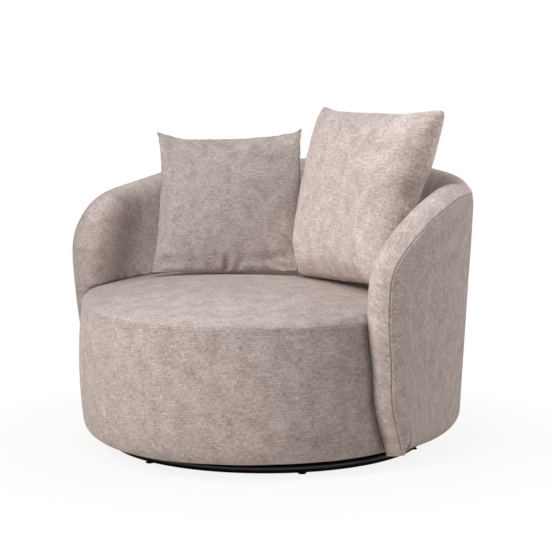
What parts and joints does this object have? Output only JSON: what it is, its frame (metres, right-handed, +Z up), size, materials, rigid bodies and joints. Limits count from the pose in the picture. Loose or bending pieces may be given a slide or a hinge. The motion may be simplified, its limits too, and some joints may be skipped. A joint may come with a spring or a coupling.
{
  "type": "swivel cuddle chair",
  "caption": "Wide upholstered swivel tub chair with a wrap-around padded shell, a round padded seat, loose back cushions and a low ring base.",
  "frame": {"origin": "on the floor, on the swivel's axis, which is the middle of the chair's footprint", "axes": "+Z up, -Y towards the front of the seat, +X towards the arm beside the large cushion"},
  "size_m": [1.1096, 1.0946, 0.9266],
  "materials": {
    "upholstery": "warm grey woven chenille, soft and matt",
    "foam": "soft open-cell foam",
    "plywood": "raw plywood",
    "black_paint": "gloss black powder coat",
    "zinc_steel": "zinc-plated steel",
    "black_plastic": "matt black moulded plastic",
    "webbing": "woven elastic webbing",
    "lining": "thin black non-woven cloth"
  },
  "bodies": {
    "base": {"base_ring": "black_paint", "glide_1": "black_plastic", "glide_2": "black_plastic", "glide_3": "black_plastic", "glide_4": "black_plastic", "glide_5": "black_plastic", "glide_6": "black_plastic", "cross_bar": "black_paint", "cross_bar_rear": "black_paint", "cross_bar_front": "black_paint", "swivel_lower_plate": "zinc_steel", "base_bolt_1": "zinc_steel", "base_bolt_2": "zinc_steel", "base_bolt_3": "zinc_steel", "base_bolt_4": "zinc_steel"},
    "cage": {"ball_cage": "zinc_steel"},
    "chair": {"swivel_upper_plate": "zinc_steel", "swivel_pivot": "zinc_steel", "deck_screw_1": "zinc_steel", "deck_screw_2": "zinc_steel", "deck_screw_3": "zinc_steel", "deck_screw_4": "zinc_steel", "seat_deck": "plywood", "drum_wall": "plywood", "seat_frame_ring": "plywood", "seat_web_1": "webbing", "seat_web_2": "webbing", "seat_web_3": "webbing", "seat_web_4": "webbing", "seat_web_5": "webbing", "seat_web_6": "webbing", "seat_foam": "foam", "seat_top_cover": "upholstery", "drum_border_cover": "upholstery", "drum_border_foam": "foam", "dust_cover": "lining", "shell_panel": "plywood", "shell_padding": "foam", "shell_inner_cover": "upholstery", "shell_outer_cover": "upholstery", "mounting_block_1": "plywood", "mounting_block_2": "plywood", "mounting_block_3": "plywood", "mounting_block_4": "plywood", "coach_screw_1": "zinc_steel", "coach_screw_2": "zinc_steel", "coach_screw_3": "zinc_steel", "coach_screw_4": "zinc_steel"},
    "small_cushion": {"small_cushion_cover": "upholstery", "small_cushion_insert": "lining", "small_cushion_zip": "black_plastic"},
    "large_cushion": {"large_cushion_cover": "upholstery", "large_cushion_insert": "lining", "large_cushion_zip": "black_plastic"}
  },
  "joints": [
    {"name": "swivel", "type": "hinge", "parent": "base", "child": "chair", "pos_m": [0, 0, 0.0327], "axis": [0, 0, 1], "continuous": true},
    {"name": "cage_roll", "type": "hinge", "parent": "base", "child": "cage", "pos_m": [0, 0, 0.0327], "axis": [0, 0, 1], "continuous": true},
    {"name": "small_cushion_lift", "type": "slide", "parent": "chair", "child": "small_cushion", "axis": [0, -0.342, 0.9397], "range_m": [0, 0.4]},
    {"name": "large_cushion_lift", "type": "slide", "parent": "chair", "child": "large_cushion", "axis": [0, -0.342, 0.9397], "range_m": [0, 0.45]}
  ],
  "couplings": [
    {"joint": "cage_roll", "follows": "swivel", "ratio": 0.5}
  ]
}
